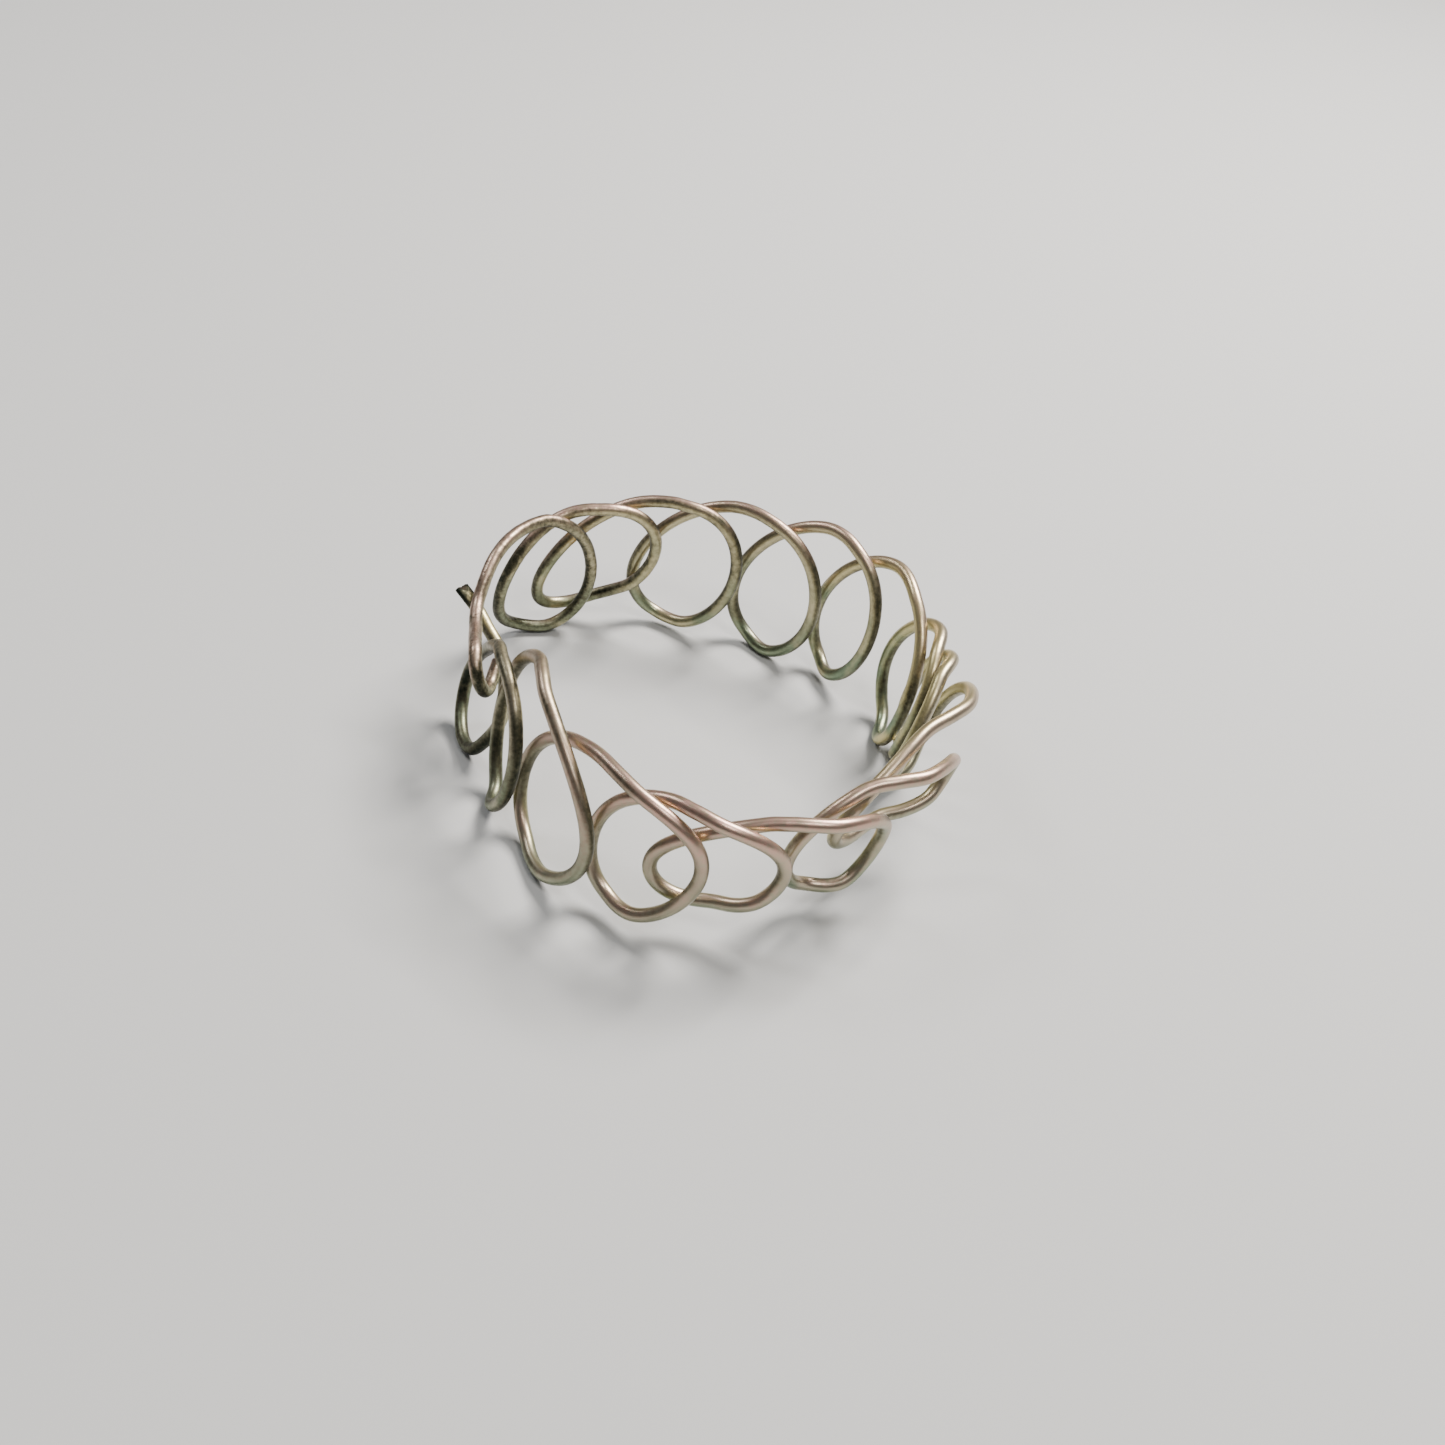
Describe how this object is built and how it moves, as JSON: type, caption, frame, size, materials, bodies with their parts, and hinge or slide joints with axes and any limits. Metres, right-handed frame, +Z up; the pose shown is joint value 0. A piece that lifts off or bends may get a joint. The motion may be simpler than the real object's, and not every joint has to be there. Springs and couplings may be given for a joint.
{
  "type": "looped wire finger ring",
  "caption": "Finger ring bent by hand from one round wire: upright overlapping loops round the finger, with a hooked first end and a cut tail.",
  "frame": {"origin": "middle of the ring's outline, at the level it stands on", "axes": "+Z up through the finger hole, -Y towards the front, +X towards the right"},
  "size_m": [0.021, 0.02, 0.0073],
  "materials": {
    "wire": "tarnished, satin, with brown and green patina",
    "dark_wire": "tarnished nearly black, satin"
  },
  "bodies": {
    "wire_ends": {"start_hook": "dark_wire", "loop_15": "dark_wire", "end_tail": "dark_wire"},
    "loop_01": {"loop_01": "wire"},
    "loop_02": {"loop_02": "wire"},
    "loop_03": {"loop_03": "wire"},
    "loop_04": {"loop_04": "wire"},
    "loop_05": {"loop_05": "wire"},
    "loop_06": {"loop_06": "wire"},
    "loop_07": {"loop_07": "wire"},
    "loop_08": {"loop_08": "wire"},
    "loop_09": {"loop_09": "wire"},
    "loop_10": {"loop_10": "wire"},
    "loop_11": {"loop_11": "wire"},
    "loop_12": {"loop_12": "wire"},
    "loop_13": {"loop_13": "wire"},
    "loop_14": {"loop_14": "dark_wire"}
  },
  "joints": [
    {"name": "loop_01_flex", "type": "hinge", "parent": "wire_ends", "child": "loop_01", "pos_m": [-0.00662, 0.00742, 0.00643], "axis": [0.7333, 0.6783, -0.0469], "range_deg": [0, 1.5], "stiffness_Nm_per_rad": 0.02},
    {"name": "loop_02_flex", "type": "hinge", "parent": "wire_ends", "child": "loop_02", "pos_m": [-0.0043, 0.0087, 0.00648], "axis": [0.9396, 0.3368, 0.061], "range_deg": [0, 0.7], "stiffness_Nm_per_rad": 0.02},
    {"name": "loop_03_flex", "type": "hinge", "parent": "wire_ends", "child": "loop_03", "pos_m": [-0.00077, 0.0092, 0.00663], "axis": [0.9994, -0.0246, 0.025], "range_deg": [0, 2], "stiffness_Nm_per_rad": 0.02},
    {"name": "loop_04_flex", "type": "hinge", "parent": "wire_ends", "child": "loop_04", "pos_m": [0.00313, 0.0086, 0.00673], "axis": [0.9603, -0.2777, 0.0253], "range_deg": [0, 2], "stiffness_Nm_per_rad": 0.02},
    {"name": "loop_05_flex", "type": "hinge", "parent": "wire_ends", "child": "loop_05", "pos_m": [0.00636, 0.00708, 0.00663], "axis": [0.8052, -0.5861, -0.0905], "range_deg": [0, 2], "stiffness_Nm_per_rad": 0.02},
    {"name": "loop_06_flex", "type": "hinge", "parent": "wire_ends", "child": "loop_06", "pos_m": [0.0084, 0.00465, 0.00608], "axis": [0.4223, -0.8743, -0.2395], "range_deg": [0, 1.5], "stiffness_Nm_per_rad": 0.02},
    {"name": "loop_07_flex", "type": "hinge", "parent": "wire_ends", "child": "loop_07", "pos_m": [0.00925, 0.00238, 0.00568], "axis": [0.1809, -0.9835, 0], "range_deg": [0, 0.7], "stiffness_Nm_per_rad": 0.02},
    {"name": "loop_08_flex", "type": "hinge", "parent": "wire_ends", "child": "loop_08", "pos_m": [0.00936, -0.00039, 0.00598], "axis": [-0.0228, -0.9883, 0.1511], "range_deg": [0, 2], "stiffness_Nm_per_rad": 0.02},
    {"name": "loop_09_flex", "type": "hinge", "parent": "wire_ends", "child": "loop_09", "pos_m": [0.00839, -0.00424, 0.00613], "axis": [-0.4403, -0.895, -0.0712], "range_deg": [0, 2], "stiffness_Nm_per_rad": 0.02},
    {"name": "loop_10_flex", "type": "hinge", "parent": "wire_ends", "child": "loop_10", "pos_m": [0.00592, -0.00736, 0.00578], "axis": [-0.776, -0.6226, -0.1006], "range_deg": [0, 2], "stiffness_Nm_per_rad": 0.02},
    {"name": "loop_11_flex", "type": "hinge", "parent": "wire_ends", "child": "loop_11", "pos_m": [0.00246, -0.00896, 0.00583], "axis": [-0.9745, -0.1845, 0.1273], "range_deg": [0, 2], "stiffness_Nm_per_rad": 0.02},
    {"name": "loop_12_flex", "type": "hinge", "parent": "wire_ends", "child": "loop_12", "pos_m": [-0.00093, -0.00872, 0.00618], "axis": [-0.9231, 0.3794, 0.0628], "range_deg": [0, 2], "stiffness_Nm_per_rad": 0.02},
    {"name": "loop_13_flex", "type": "hinge", "parent": "wire_ends", "child": "loop_13", "pos_m": [-0.00409, -0.00607, 0.00663], "axis": [-0.6309, 0.7647, 0.1307], "range_deg": [0, 1.5], "stiffness_Nm_per_rad": 0.02},
    {"name": "loop_14_flex", "type": "hinge", "parent": "wire_ends", "child": "loop_14", "pos_m": [-0.00673, -0.0029, 0.00635], "axis": [-0.5974, 0.6996, -0.3921], "range_deg": [0, 2], "stiffness_Nm_per_rad": 0.02}
  ]
}
